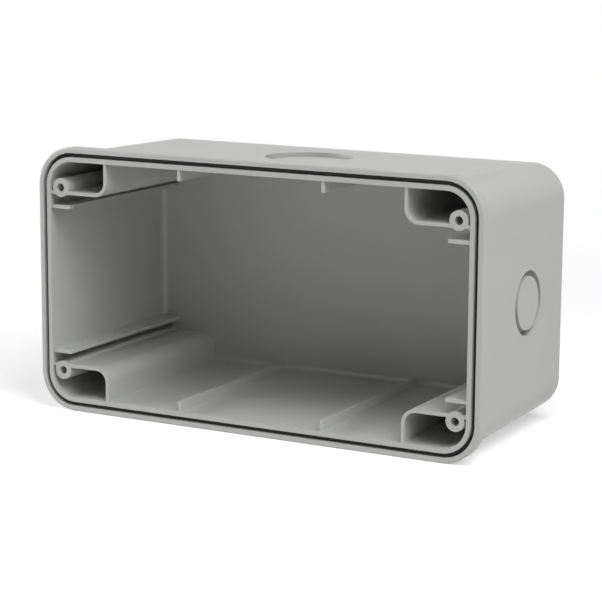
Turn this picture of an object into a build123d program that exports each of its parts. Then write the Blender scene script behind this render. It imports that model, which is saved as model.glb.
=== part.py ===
from build123d import *
import os

# Waterproof wall box: the open base of a moulded enclosure, with the seal in its rim.
# Millimetres. X runs along the width, Y goes into the wall and Z is up. The origin is the
# centre of the back face, which lies on the wall, so the open rim faces -Y.

# Overall size
outer_width = 206.6
outer_height = 114.0
depth = 92.0

# Collar: the thicker band round the open front
collar_depth = 6.0
collar_corner = 16.5
collar_edge = 0.8

# Body behind the collar: how far it steps in, and how much more it narrows by the back
step_side = 1.9
step_top = 2.9
taper_side = 0.5
taper_top = 1.5
body_corner = 14.5
back_edge = 4.5

# Walls and the chamber that they leave
side_wall = 4.1
top_wall = 3.3
back_wall = 3.2
chamber_corner = 10.5
chamber_back_edge = 2.5

# Seal groove in the front face of the rim, and the seal in it
groove_inset = 2.3
groove_width = 1.8
groove_depth = 4.0
seal_clearance = 0.1
seal_recess = 1.7
seal_crown = 0.5

# Wells: a curved wall closes off each corner of the chamber
well_width = 27.4
well_height = 13.4
well_wall = 1.4
well_corner = 6.2
well_setback = 0.5

# Bosses for the lid screws, one on the lower wall of each well
boss_diameter = 8.0
boss_inset = 4.9
boss_rise = 2.2
screw_hole_diameter = 3.5
screw_hole_depth = 24.0

# Holes for the screws that hold the box to the wall, one in each well
fixing_hole_diameter = 5.2
fixing_inset_x = 18.0
fixing_inset_z = 6.2

# Ribs that run from the front to the back
rib_thickness = 1.5
rib_setback = 0.5
side_rib_length = 9.2
side_rib_gap = 4.6
top_rib_height = 4.5
top_rib_spacing = 67.0

# Knockouts: a ring groove leaves a thin web, which is broken out for a gland. The discs of
# the two large ones also lie a little below the wall round them.
knockout_from_rim = 51.0
knockout_groove = 2.4
knockout_web = 0.9
side_knockout_diameter = 27.0
top_knockout_diameter = 37.5
top_knockout_sink = 1.6

# How far a piece runs into the wall that carries it, and a cutter past the face it opens
bury = 1.0
overrun = 1.0

front = -depth
body_front = front + collar_depth
body_length = depth - collar_depth
chamber_back = -back_wall

body_half_width = outer_width / 2 - step_side
body_half_height = outer_height / 2 - step_top
chamber_half_width = body_half_width - side_wall
chamber_half_height = body_half_height - top_wall

well_x = chamber_half_width - well_width
well_z = chamber_half_height - well_height
boss_x = chamber_half_width - boss_inset
boss_z = well_z + boss_rise
fixing_x = chamber_half_width - fixing_inset_x
fixing_z = chamber_half_height - fixing_inset_z
side_rib_z = well_z - well_wall / 2 - side_rib_gap - rib_thickness / 2

corners = [(1, 1), (-1, 1), (1, -1), (-1, -1)]


def section(y):
    """Plane across the box at y, seen from the front: its axes are X and Z."""
    return Plane(origin=(0, y, 0), x_dir=(1, 0, 0), z_dir=(0, -1, 0))


def rounded_block(half_width, half_height, corner, y_front, y_back):
    """Straight block with rounded long edges."""
    outline = RectangleRounded(2 * half_width, 2 * half_height, corner)
    return extrude(section(y_back) * outline, amount=y_back - y_front)


def tapered_block(half_width, half_height, corner, y_front, y_back):
    """Block with the given size at the body's front that narrows as the body does."""
    outlines = []
    for y in (y_front, y_back):
        share = (y - body_front) / body_length
        width = 2 * (half_width - share * taper_side)
        height = 2 * (half_height - share * taper_top)
        outlines.append(section(y) * RectangleRounded(width, height, corner))
    return loft(outlines, ruled=True)


def edges_at(solid, y):
    """Edges that lie wholly in the section at y."""
    return solid.edges().filter_by_position(Axis.Y, y, y)


def collar():
    """Band round the front, with its front and rear outer edges eased."""
    band = rounded_block(
        outer_width / 2, outer_height / 2, collar_corner, front, body_front
    )
    return fillet(edges_at(band, front) + edges_at(band, body_front), collar_edge)


def body():
    """Tapered outer form behind the collar, with its back edges rounded."""
    form = tapered_block(
        body_half_width, body_half_height, body_corner, front + collar_edge, 0
    )
    return fillet(edges_at(form, 0), back_edge)


def chamber():
    """Space inside the walls, open at the front, with rounded edges at the back."""
    space = tapered_block(
        chamber_half_width,
        chamber_half_height,
        chamber_corner,
        front - overrun,
        chamber_back,
    )
    return fillet(edges_at(space, chamber_back), chamber_back_edge)


def rim_ring(inset, width, y_front, y_back):
    """Ring that follows the rim, from inset to inset + width inside its outer edge."""
    outer = rounded_block(
        outer_width / 2 - inset,
        outer_height / 2 - inset,
        collar_corner - inset,
        y_front,
        y_back,
    )
    inner = rounded_block(
        outer_width / 2 - inset - width,
        outer_height / 2 - inset - width,
        collar_corner - inset - width,
        y_front - overrun,
        y_back + overrun,
    )
    return outer - inner


def seal_groove():
    """Groove in the rim that holds the seal."""
    return rim_ring(groove_inset, groove_width, front - overrun, front + groove_depth)


def well_outline(grow):
    """Corner outline of the upper right well, grown outwards from its wall's middle line."""
    x_low = well_x - grow
    z_low = well_z - grow
    width = chamber_half_width + bury - x_low
    height = chamber_half_height + bury - z_low
    corner = well_corner - well_wall / 2 + grow
    plate = Pos(x_low + width / 2, z_low + height / 2) * Rectangle(width, height)
    inner_corner = plate.vertices().sort_by_distance((x_low, z_low, 0))[0]
    return fillet(inner_corner, corner)


def well_walls():
    """Curved wall of the upper right well, from the back wall to just behind the rim."""
    outline = well_outline(well_wall / 2) - well_outline(-well_wall / 2)
    length = depth - back_wall + bury - well_setback
    return extrude(section(chamber_back + bury) * outline, amount=length)


def lid_boss():
    """Round column of the upper right well that takes a lid screw."""
    length = depth - back_wall + bury - well_setback
    outline = section(chamber_back + bury) * Pos(boss_x, boss_z) * Circle(boss_diameter / 2)
    return extrude(outline, amount=length)


def screw_hole():
    """Blind hole for a lid screw, open at the front of its boss."""
    mouth = section(front - overrun) * Pos(boss_x, boss_z) * Circle(screw_hole_diameter / 2)
    return extrude(mouth, amount=-(screw_hole_depth + well_setback + overrun))


def fixing_hole():
    """Hole through the back wall in the upper right well."""
    mouth = section(overrun) * Pos(fixing_x, fixing_z) * Circle(fixing_hole_diameter / 2)
    return extrude(mouth, amount=back_wall + 2 * overrun)


def side_rib():
    """Upper rib on the right wall: it leaves a slot below the well."""
    width = side_rib_length + bury
    centre_x = chamber_half_width + bury - width / 2
    length = depth - back_wall + bury - rib_setback
    outline = Pos(centre_x, side_rib_z) * Rectangle(width, rib_thickness)
    return extrude(section(chamber_back + bury) * outline, amount=length)


def top_rib():
    """Right rib under the top wall."""
    height = top_rib_height + bury
    centre_z = chamber_half_height + bury - height / 2
    length = depth - back_wall + bury - rib_setback
    outline = Pos(top_rib_spacing / 2, centre_z) * Rectangle(rib_thickness, height)
    return extrude(section(chamber_back + bury) * outline, amount=length)


def at_corner(piece, side_x, side_z):
    """Copy of a piece of the upper right corner, mirrored to another corner."""
    if side_x < 0:
        piece = mirror(piece, about=Plane.YZ)
    if side_z < 0:
        piece = mirror(piece, about=Plane.XY)
    return piece


def knockout_plane(on_side):
    """Plane on the middle of the right wall's or the top wall's outer face."""
    y = front + knockout_from_rim
    share = (y - body_front) / body_length
    if on_side:
        face = body_half_width - share * taper_side
        return Plane(origin=(face, y, 0), x_dir=(0, 0, 1), z_dir=(body_length, taper_side, 0))
    face = body_half_height - share * taper_top
    return Plane(origin=(0, y, face), x_dir=(1, 0, 0), z_dir=(0, taper_top, body_length))


def knockout(plane, diameter, wall):
    """Cutter for the ring groove of one knockout."""
    radius = diameter / 2
    ring = plane * (Circle(radius) - Circle(radius - knockout_groove))
    return extrude(ring, amount=-(wall - knockout_web)) + extrude(ring, amount=overrun)


def sunk_disc(plane, diameter, sink):
    """Cutter that lowers the disc of one knockout."""
    disc = plane * Circle(diameter / 2)
    return extrude(disc, amount=-sink) + extrude(disc, amount=overrun)


def box_body():
    """The whole moulding: walls, wells, bosses, ribs, seal groove and knockouts."""
    moulding = collar() + body() - chamber()
    hollows = [seal_groove()]
    for side_x, side_z in corners:
        for piece in (well_walls(), lid_boss(), side_rib(), top_rib()):
            moulding += at_corner(piece, side_x, side_z)
        for cutter in (screw_hole(), fixing_hole()):
            hollows.append(at_corner(cutter, side_x, side_z))
    side_cutter = knockout(knockout_plane(True), side_knockout_diameter, side_wall)
    top_cutter = knockout(knockout_plane(False), top_knockout_diameter, top_wall)
    top_cutter += sunk_disc(knockout_plane(False), top_knockout_diameter, top_knockout_sink)
    hollows += [side_cutter, mirror(side_cutter, about=Plane.YZ)]
    hollows += [top_cutter, mirror(top_cutter, about=Plane.XY)]
    for hollow in hollows:
        moulding -= hollow
    return moulding


def rim_seal():
    """Seal that lies on the bottom of the groove, with its front edges rounded."""
    inset = groove_inset + seal_clearance
    width = groove_width - 2 * seal_clearance
    seal = rim_ring(inset, width, front + seal_recess, front + groove_depth)
    return fillet(edges_at(seal, front + seal_recess), seal_crown)


os.makedirs("parts", exist_ok=True)
for name, piece in (("box_body", box_body()), ("rim_seal", rim_seal())):
    export_step(piece, f"parts/{name}.step")
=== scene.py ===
import math

import bpy
from bpy.props import FloatProperty, FloatVectorProperty, PointerProperty
from mathutils import Matrix, Vector


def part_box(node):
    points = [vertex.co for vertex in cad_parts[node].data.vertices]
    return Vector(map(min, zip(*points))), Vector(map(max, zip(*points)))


bl_info = {
    "name": "Waterproof wall box",
    "version": (1, 0, 0),
    "blender": (4, 5, 0),
    "location": "View3D > Sidebar > Wall box",
    "description": "Finishes the moulded wall box and its seal, and sets them on a studio floor",
    "category": "Object",
}

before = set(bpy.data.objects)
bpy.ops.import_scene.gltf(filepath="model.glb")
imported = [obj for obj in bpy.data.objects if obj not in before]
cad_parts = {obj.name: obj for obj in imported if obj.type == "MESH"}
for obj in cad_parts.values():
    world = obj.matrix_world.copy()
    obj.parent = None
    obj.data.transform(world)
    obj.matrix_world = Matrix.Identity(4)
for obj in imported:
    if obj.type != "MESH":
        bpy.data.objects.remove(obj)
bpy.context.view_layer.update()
body_low, body_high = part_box("box_body")

MM = 0.001
LAMP_AIM = Vector((0, -45 * MM, 0))


def linear(hex_colour):
    """Linear red, green and blue of an sRGB hex colour."""
    channels = [int(hex_colour[i:i + 2], 16) / 255 for i in (1, 3, 5)]
    return tuple(c / 12.92 if c <= 0.04045 else ((c + 0.055) / 1.055) ** 2.4 for c in channels)


def add_node(tree, kind, inputs=None, **settings):
    """Node of the given kind, with its settings, and its inputs set to values or linked to sockets."""
    node = tree.nodes.new(kind)
    for name, value in settings.items():
        setattr(node, name, value)
    for name, value in (inputs or {}).items():
        if isinstance(value, bpy.types.NodeSocket):
            tree.links.new(value, node.inputs[name])
        else:
            node.inputs[name].default_value = value
    return node


def new_material(name):
    """Material with an empty node tree."""
    material = bpy.data.materials.new(name)
    material.use_nodes = True
    material.node_tree.nodes.clear()
    return material


def dress(node_name, material):
    """Gives a CAD node its finish."""
    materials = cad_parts[node_name].data.materials
    materials.clear()
    materials.append(material)


class PlasticSettings(bpy.types.PropertyGroup):
    colour: FloatVectorProperty(
        name="Plastic colour",
        description="Light grey of the moulding",
        subtype="COLOR",
        size=3,
        min=0,
        max=1,
        default=linear("#C1C2C0"),
    )
    grain: FloatProperty(
        name="Outer grain",
        description="Pitch of the texture on the outer faces",
        unit="LENGTH",
        default=0.9 * MM,
    )
    core_grain: FloatProperty(
        name="Inner grain",
        description="Pitch of the finer texture on the inner faces",
        unit="LENGTH",
        default=0.6 * MM,
    )
    grain_depth: FloatProperty(
        name="Grain depth",
        description="Depth of the texture on the outer faces",
        unit="LENGTH",
        default=0.05 * MM,
    )
    core_depth: FloatProperty(
        name="Inner grain share",
        description="Depth of the texture on the inner faces, as a share of the outer one",
        default=0.35,
    )
    roughness: FloatProperty(
        name="Roughness",
        description="Mean roughness of the outer faces",
        default=0.48,
    )
    roughness_drift: FloatProperty(
        name="Roughness drift",
        description="How far the roughness drifts either way where the melt has flowed",
        default=0.04,
    )
    core_polish: FloatProperty(
        name="Core polish",
        description="How much less rough the inner faces are",
        default=0.08,
    )
    tone_drift: FloatProperty(
        name="Tone drift",
        description="Share by which the tone drifts either way where the melt has flowed",
        default=0.03,
    )
    flow: FloatProperty(
        name="Flow length",
        description="Length over which the tone drifts where the melt has flowed",
        unit="LENGTH",
        default=45 * MM,
    )
    wall: FloatProperty(
        name="Half wall",
        description="Depth of the middle of a wall below the outer faces of the collar",
        unit="LENGTH",
        default=4.2 * MM,
    )


class SealSettings(bpy.types.PropertyGroup):
    colour: FloatVectorProperty(
        name="Rubber colour",
        description="Black of the seal",
        subtype="COLOR",
        size=3,
        min=0,
        max=1,
        default=linear("#1B1B1C"),
    )
    cell: FloatProperty(
        name="Cell size",
        description="Size of the cells in the skin of the seal",
        unit="LENGTH",
        default=0.5 * MM,
    )
    pit_depth: FloatProperty(
        name="Pit depth",
        description="Depth of the pits that the cells leave in the skin",
        unit="LENGTH",
        default=0.08 * MM,
    )


class StageSettings(bpy.types.PropertyGroup):
    floor_colour: FloatVectorProperty(
        name="Floor colour",
        description="Colour of the studio floor",
        subtype="COLOR",
        size=3,
        min=0,
        max=1,
        default=linear("#EDEDED"),
    )
    floor_radius: FloatProperty(
        name="Floor radius",
        description="Radius of the studio floor",
        unit="LENGTH",
        default=9,
    )
    floor_mottle: FloatProperty(
        name="Floor mottle",
        description="Length over which the tone of the floor's paint drifts",
        unit="LENGTH",
        default=60 * MM,
    )
    floor_lift: FloatProperty(
        name="Floor lift",
        description="Brightness added to the floor near the box, where it is seen directly",
        default=0.45,
    )
    shadow_radius: FloatProperty(
        name="Shadow radius",
        description="Distance from the box up to which the floor shows its shadow in full",
        unit="LENGTH",
        default=0.18,
    )
    white_radius: FloatProperty(
        name="White radius",
        description="Distance from the box beyond which the floor shows as plain white",
        unit="LENGTH",
        default=0.5,
    )
    camera_place: FloatVectorProperty(
        name="Camera place",
        description="Place of the camera, from the centre of the back face",
        subtype="TRANSLATION",
        unit="LENGTH",
        size=3,
        default=(0.4154, -0.8137, 0.1576),
    )
    azimuth: FloatProperty(
        name="Azimuth",
        description="Angle of the view to the right of straight on",
        subtype="ANGLE",
        default=math.radians(28.46),
    )
    elevation: FloatProperty(
        name="Elevation",
        description="Angle at which the view looks down",
        subtype="ANGLE",
        default=math.radians(10.74),
    )
    roll: FloatProperty(
        name="Roll",
        description="Turn of the camera about its line of sight",
        subtype="ANGLE",
        default=math.radians(0.35),
    )
    lens: FloatProperty(
        name="Lens",
        description="Focal length on a 36 mm wide sensor",
        unit="CAMERA",
        default=124.6,
    )
    lamp_size: FloatProperty(
        name="Lamp size",
        description="Side of each square lamp",
        unit="LENGTH",
        default=0.8,
    )
    top_light: FloatProperty(
        name="Top light",
        description="Power of the lamp high on the right",
        unit="POWER",
        default=11,
    )
    right_light: FloatProperty(
        name="Right light",
        description="Power of the lower lamp on the right",
        unit="POWER",
        default=7,
    )
    left_light: FloatProperty(
        name="Left light",
        description="Power of the low lamp on the left, which grazes the rim",
        unit="POWER",
        default=22,
    )


def inside_mask(tree, place, settings):
    """Socket that is 1 on the faces that the core of the mould made, and 0 on the others."""
    half = (body_high - body_low) / 2
    axes = add_node(tree, "ShaderNodeSeparateXYZ", {"Vector": place})
    across = add_node(tree, "ShaderNodeMath", {0: axes.outputs["X"]}, operation="ABSOLUTE")
    upward = add_node(tree, "ShaderNodeMath", {0: axes.outputs["Z"]}, operation="ABSOLUTE")
    parts = []
    for socket, limit in (
        (across.outputs[0], half.x - settings.wall),
        (upward.outputs[0], half.z - settings.wall),
        (axes.outputs["Y"], body_high.y - settings.wall / 2),
    ):
        part = add_node(tree, "ShaderNodeMath", {0: socket, 1: limit}, operation="LESS_THAN")
        parts.append(part.outputs[0])
    both = add_node(tree, "ShaderNodeMath", {0: parts[0], 1: parts[1]}, operation="MULTIPLY")
    mask = add_node(tree, "ShaderNodeMath", {0: both.outputs[0], 1: parts[2]}, operation="MULTIPLY")
    return mask.outputs[0]


def drift(tree, noise, middle, reach):
    """Socket that wanders with a noise, by up to reach either side of the middle value."""
    # Most of the noise lies between 0.3 and 0.7, and the node holds the rest at the ends.
    spread = add_node(
        tree,
        "ShaderNodeMapRange",
        {
            "Value": noise.outputs["Fac"],
            "From Min": 0.3,
            "From Max": 0.7,
            "To Min": middle - reach,
            "To Max": middle + reach,
        },
    )
    return spread.outputs["Result"]


def moulded_abs(settings):
    """ABS, injection moulded.

    The outer faces come off a spark-eroded cavity, whose fine even grain spreads the
    highlight to a satin sheen. The inner faces come off a polished core and are smoother.
    """
    material = new_material("ABS moulded in a spark-eroded cavity")
    tree = material.node_tree
    place = add_node(tree, "ShaderNodeTexCoord").outputs["Object"]
    inside = inside_mask(tree, place, settings)
    # The real grain is about 0.1 mm. It is drawn as coarse as it needs to show here.
    outer = add_node(
        tree, "ShaderNodeTexNoise", {"Vector": place, "Scale": 1 / settings.grain, "Detail": 3.0}
    )
    inner = add_node(
        tree, "ShaderNodeTexNoise", {"Vector": place, "Scale": 1 / settings.core_grain, "Detail": 1.0}
    )
    flow = add_node(
        tree, "ShaderNodeTexNoise", {"Vector": place, "Scale": 1 / settings.flow, "Detail": 2.0}
    )
    inner_height = add_node(
        tree,
        "ShaderNodeMath",
        {0: inner.outputs["Fac"], 1: settings.core_depth},
        operation="MULTIPLY",
    )
    height = add_node(
        tree,
        "ShaderNodeMix",
        {"Factor": inside, "A": outer.outputs["Fac"], "B": inner_height.outputs[0]},
        data_type="FLOAT",
    )
    bump = add_node(
        tree,
        "ShaderNodeBump",
        {"Strength": 0.25, "Distance": settings.grain_depth, "Height": height.outputs["Result"]},
    )
    shade = drift(tree, flow, 1.0, settings.tone_drift)
    colour = add_node(
        tree,
        "ShaderNodeVectorMath",
        {0: tuple(settings.colour), "Scale": shade},
        operation="SCALE",
    )
    outer_roughness = drift(tree, flow, settings.roughness, settings.roughness_drift)
    inner_roughness = drift(
        tree, flow, settings.roughness - settings.core_polish, settings.roughness_drift
    )
    roughness = add_node(
        tree,
        "ShaderNodeMix",
        {"Factor": inside, "A": outer_roughness, "B": inner_roughness},
        data_type="FLOAT",
    )
    shader = add_node(
        tree,
        "ShaderNodeBsdfPrincipled",
        {
            "Base Color": colour.outputs["Vector"],
            "Roughness": roughness.outputs["Result"],
            "IOR": 1.53,
            "Normal": bump.outputs["Normal"],
        },
    )
    add_node(tree, "ShaderNodeOutputMaterial", {"Surface": shader.outputs["BSDF"]})
    return material


def foamed_rubber(settings):
    """Closed-cell rubber, extruded as a cord.

    Its skin is matt and faintly pitted by the cells below it, so it takes no clear highlight.
    """
    material = new_material("EPDM rubber extruded as closed-cell cord")
    tree = material.node_tree
    place = add_node(tree, "ShaderNodeTexCoord").outputs["Object"]
    cells = add_node(tree, "ShaderNodeTexVoronoi", {"Vector": place, "Scale": 1 / settings.cell})
    bump = add_node(
        tree,
        "ShaderNodeBump",
        {"Strength": 0.4, "Distance": settings.pit_depth, "Height": cells.outputs["Distance"]},
    )
    shade = add_node(
        tree,
        "ShaderNodeMapRange",
        {"Value": cells.outputs["Distance"], "From Max": 0.8, "To Min": 0.8, "To Max": 1.3},
    )
    colour = add_node(
        tree,
        "ShaderNodeVectorMath",
        {0: tuple(settings.colour), "Scale": shade.outputs["Result"]},
        operation="SCALE",
    )
    shader = add_node(
        tree,
        "ShaderNodeBsdfPrincipled",
        {
            "Base Color": colour.outputs["Vector"],
            "Roughness": 0.75,
            "IOR": 1.5,
            "Normal": bump.outputs["Normal"],
        },
    )
    add_node(tree, "ShaderNodeOutputMaterial", {"Surface": shader.outputs["BSDF"]})
    return material


def seen_rays(tree):
    """Socket that is 1 for rays from the camera, mirrored or passed through glass, and 0 for light."""
    path = add_node(tree, "ShaderNodeLightPath")
    direct = add_node(
        tree,
        "ShaderNodeMath",
        {0: path.outputs["Is Camera Ray"], 1: path.outputs["Is Glossy Ray"]},
        operation="MAXIMUM",
    )
    seen = add_node(
        tree,
        "ShaderNodeMath",
        {0: direct.outputs[0], 1: path.outputs["Is Transmission Ray"]},
        operation="MAXIMUM",
    )
    return seen.outputs[0]


def painted_floor(settings):
    """Board painted matt white.

    It fades to plain white away from the object, and keeps the object's soft shadow.
    """
    material = new_material("Board painted matt white")
    tree = material.node_tree
    place = add_node(tree, "ShaderNodeTexCoord").outputs["Object"]
    mottle = add_node(
        tree, "ShaderNodeTexNoise", {"Vector": place, "Scale": 1 / settings.floor_mottle}
    )
    shade = add_node(
        tree, "ShaderNodeMapRange", {"Value": mottle.outputs["Fac"], "To Min": 0.99, "To Max": 1.01}
    )
    colour = add_node(
        tree,
        "ShaderNodeVectorMath",
        {0: tuple(settings.floor_colour), "Scale": shade.outputs["Result"]},
        operation="SCALE",
    )
    board = add_node(tree, "ShaderNodeBsdfDiffuse", {"Color": colour.outputs["Vector"]})
    glow = add_node(
        tree, "ShaderNodeEmission", {"Color": (1, 1, 1, 1), "Strength": settings.floor_lift}
    )
    lifted = add_node(tree, "ShaderNodeAddShader", {0: board.outputs[0], 1: glow.outputs[0]})
    white = add_node(tree, "ShaderNodeEmission", {"Color": (1, 1, 1, 1), "Strength": 1.0})
    distance = add_node(tree, "ShaderNodeVectorMath", {0: place}, operation="LENGTH")
    far = add_node(
        tree,
        "ShaderNodeMapRange",
        {
            "Value": distance.outputs["Value"],
            "From Min": settings.shadow_radius,
            "From Max": settings.white_radius,
        },
        interpolation_type="SMOOTHSTEP",
    )
    seen_floor = add_node(
        tree,
        "ShaderNodeMixShader",
        {0: far.outputs["Result"], 1: lifted.outputs[0], 2: white.outputs[0]},
    )
    floor = add_node(
        tree,
        "ShaderNodeMixShader",
        {0: seen_rays(tree), 1: board.outputs[0], 2: seen_floor.outputs[0]},
    )
    add_node(tree, "ShaderNodeOutputMaterial", {"Surface": floor.outputs[0]})
    return material


def add_lamp(name, size, power, place):
    """Square area lamp that faces the middle of the box."""
    place = Vector(place)
    turn = (LAMP_AIM - place).to_track_quat("-Z", "Y").to_euler()
    bpy.ops.object.light_add(type="AREA", location=place, rotation=turn)
    lamp = bpy.context.object
    lamp.name = name
    lamp.data.shape = "SQUARE"
    lamp.data.size = size
    lamp.data.energy = power


def white_room():
    """World that shows as white, also in reflections, and gives no light of its own."""
    world = bpy.data.worlds.new("White room")
    world.use_nodes = True
    tree = world.node_tree
    tree.nodes.clear()
    white = add_node(
        tree, "ShaderNodeBackground", {"Color": (1, 1, 1, 1), "Strength": seen_rays(tree)}
    )
    add_node(tree, "ShaderNodeOutputWorld", {"Surface": white.outputs["Background"]})
    bpy.context.scene.world = world


def add_camera(settings):
    """Camera at the photograph's viewing angle."""
    turn = Matrix.Rotation(settings.azimuth, 3, "Z")
    turn = turn @ Matrix.Rotation(math.pi / 2 - settings.elevation, 3, "X")
    turn = turn @ Matrix.Rotation(settings.roll, 3, "Z")
    bpy.ops.object.camera_add(location=settings.camera_place, rotation=turn.to_euler())
    camera = bpy.context.object
    camera.data.sensor_width = 36
    camera.data.lens = settings.lens
    camera.data.clip_start = 0.01
    camera.data.clip_end = 100
    bpy.context.scene.camera = camera


class WALLBOX_OT_finish_body(bpy.types.Operator):
    """Gives the moulding its grained plastic"""

    bl_idname = "wallbox.finish_body"
    bl_label = "Finish the moulding"

    def execute(self, context):
        dress("box_body", moulded_abs(context.scene.wallbox_plastic))
        return {"FINISHED"}


class WALLBOX_OT_finish_seal(bpy.types.Operator):
    """Gives the seal its matt rubber"""

    bl_idname = "wallbox.finish_seal"
    bl_label = "Finish the seal"

    def execute(self, context):
        dress("rim_seal", foamed_rubber(context.scene.wallbox_seal))
        return {"FINISHED"}


class WALLBOX_OT_build_stage(bpy.types.Operator):
    """Adds the floor, the lamps, the white room and the camera"""

    bl_idname = "wallbox.build_stage"
    bl_label = "Build the stage"

    def execute(self, context):
        settings = context.scene.wallbox_stage
        bpy.ops.mesh.primitive_circle_add(
            vertices=64,
            radius=settings.floor_radius,
            fill_type="NGON",
            location=(0, 0, body_low.z),
        )
        floor = bpy.context.object
        floor.name = "floor"
        floor.data.materials.append(painted_floor(settings))
        for name, power, place in (
            ("top lamp", settings.top_light, (0.65, -0.38, 1.3)),
            ("right lamp", settings.right_light, (1.06, -0.61, 0.86)),
            ("left lamp", settings.left_light, (-1.43, -0.38, 0.26)),
        ):
            add_lamp(name, settings.lamp_size, power, place)
        white_room()
        add_camera(settings)
        context.scene.view_settings.view_transform = "Standard"
        return {"FINISHED"}


class WALLBOX_PT_panel(bpy.types.Panel):
    """Lists the steps and their settings"""

    bl_idname = "WALLBOX_PT_panel"
    bl_label = "Wall box"
    bl_space_type = "VIEW_3D"
    bl_region_type = "UI"
    bl_category = "Wall box"

    def draw(self, context):
        for operator, group in (
            (WALLBOX_OT_finish_body, context.scene.wallbox_plastic),
            (WALLBOX_OT_finish_seal, context.scene.wallbox_seal),
            (WALLBOX_OT_build_stage, context.scene.wallbox_stage),
        ):
            section = self.layout.box()
            for name in group.__annotations__:
                section.prop(group, name)
            section.operator(operator.bl_idname)


classes = (
    PlasticSettings,
    SealSettings,
    StageSettings,
    WALLBOX_OT_finish_body,
    WALLBOX_OT_finish_seal,
    WALLBOX_OT_build_stage,
    WALLBOX_PT_panel,
)


def register():
    for cls in classes:
        bpy.utils.register_class(cls)
    bpy.types.Scene.wallbox_plastic = PointerProperty(type=PlasticSettings)
    bpy.types.Scene.wallbox_seal = PointerProperty(type=SealSettings)
    bpy.types.Scene.wallbox_stage = PointerProperty(type=StageSettings)


def unregister():
    del bpy.types.Scene.wallbox_stage
    del bpy.types.Scene.wallbox_seal
    del bpy.types.Scene.wallbox_plastic
    for cls in reversed(classes):
        bpy.utils.unregister_class(cls)


def main():
    """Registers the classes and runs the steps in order."""
    register()
    bpy.ops.object.select_all(action="DESELECT")
    bpy.ops.wallbox.finish_body()
    bpy.ops.wallbox.finish_seal()
    bpy.ops.wallbox.build_stage()


if __name__ == "__main__":
    main()
